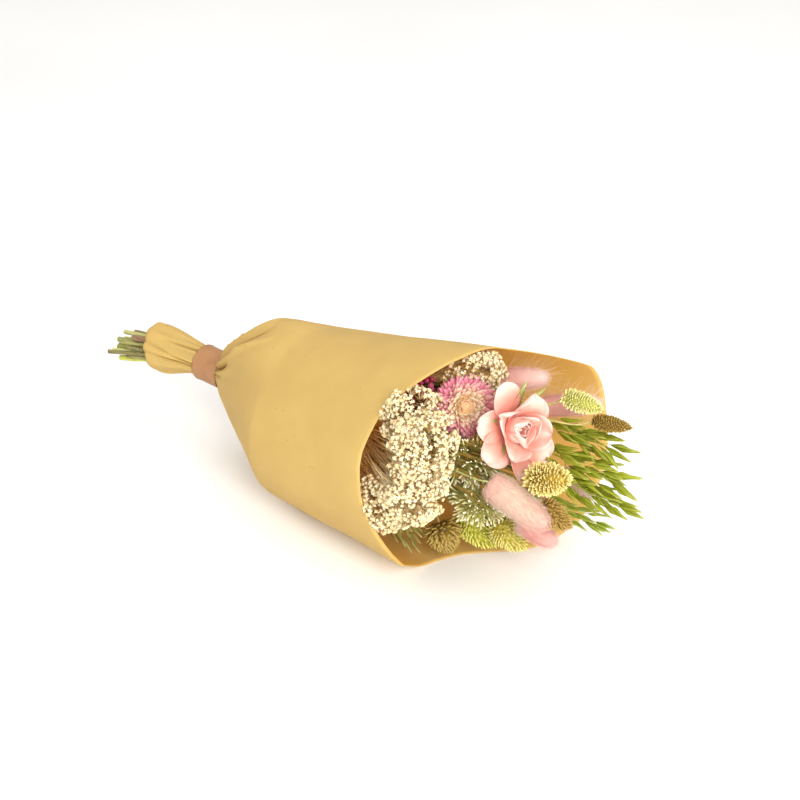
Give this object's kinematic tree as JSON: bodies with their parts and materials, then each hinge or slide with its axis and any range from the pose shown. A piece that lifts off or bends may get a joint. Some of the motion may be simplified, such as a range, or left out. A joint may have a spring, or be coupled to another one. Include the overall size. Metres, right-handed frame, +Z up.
{
  "type": "mixed flower bouquet",
  "caption": "Dried flower bunch lying on its side, rolled in a flaring kraft paper wrap that a paper band closes round the stems.",
  "frame": {"origin": "middle of the box at its underside, on the surface that the bouquet lies on", "axes": "+X along the bunch from the cut stem ends to the flowers, +Z up, +Y across, away from the side where the wrap's mouth is cut shorter"},
  "size_m": [0.4452, 0.157, 0.1479],
  "materials": {
    "kraft_paper": "unbleached kraft paper, faintly satin, with fine flecks of fibre",
    "band_paper": "smooth terracotta-brown paper",
    "tie_rubber": "matt natural rubber",
    "rose_stem": "matt dried stem",
    "rose_petal": "matt, softly veined dried petal",
    "bunny_tail": "soft fur of fine dyed hairs",
    "canary_grass": "matt overlapping papery scales",
    "broom_bloom": "matt clusters of small bleached buds",
    "white_statice": "matt stems with small papery flowers",
    "oat": "faintly satin dyed husks",
    "strawflower": "faintly glossy papery bracts",
    "burgundy_statice": "matt small papery flowers"
  },
  "bodies": {
    "root": {"broom_bloom_1": "broom_bloom", "broom_bloom_2": "broom_bloom", "broom_bloom_3": "broom_bloom", "broom_bloom_4": "broom_bloom", "broom_bloom_5": "broom_bloom", "bunny_tail_1": "bunny_tail", "bunny_tail_2": "bunny_tail", "bunny_tail_3": "bunny_tail", "bunny_tail_4": "bunny_tail", "bunny_tail_5": "bunny_tail", "bunny_tail_6": "bunny_tail", "burgundy_statice": "burgundy_statice", "canary_grass_1": "canary_grass", "canary_grass_2": "canary_grass", "canary_grass_3": "canary_grass", "canary_grass_4": "canary_grass", "canary_grass_5": "canary_grass", "canary_grass_6": "canary_grass", "canary_grass_7": "canary_grass", "kraft_wrap": "kraft_paper", "oat_1": "oat", "oat_2": "oat", "oat_3": "oat", "oat_4": "oat", "oat_5": "oat", "paper_band": "band_paper", "rose_core": "rose_petal", "rose_petal_inner_1": "rose_petal", "rose_petal_inner_2": "rose_petal", "rose_petal_inner_3": "rose_petal", "rose_petal_middle_1": "rose_petal", "rose_petal_middle_2": "rose_petal", "rose_petal_middle_3": "rose_petal", "rose_petal_middle_4": "rose_petal", "rose_petal_outer_1": "rose_petal", "rose_petal_outer_2": "rose_petal", "rose_petal_outer_3": "rose_petal", "rose_petal_outer_4": "rose_petal", "rose_petal_outer_5": "rose_petal", "rose_stem": "rose_stem", "stem_tie": "tie_rubber", "strawflower": "strawflower", "white_statice_1": "white_statice", "white_statice_2": "white_statice", "white_statice_3": "white_statice"}
  },
  "joints": []
}
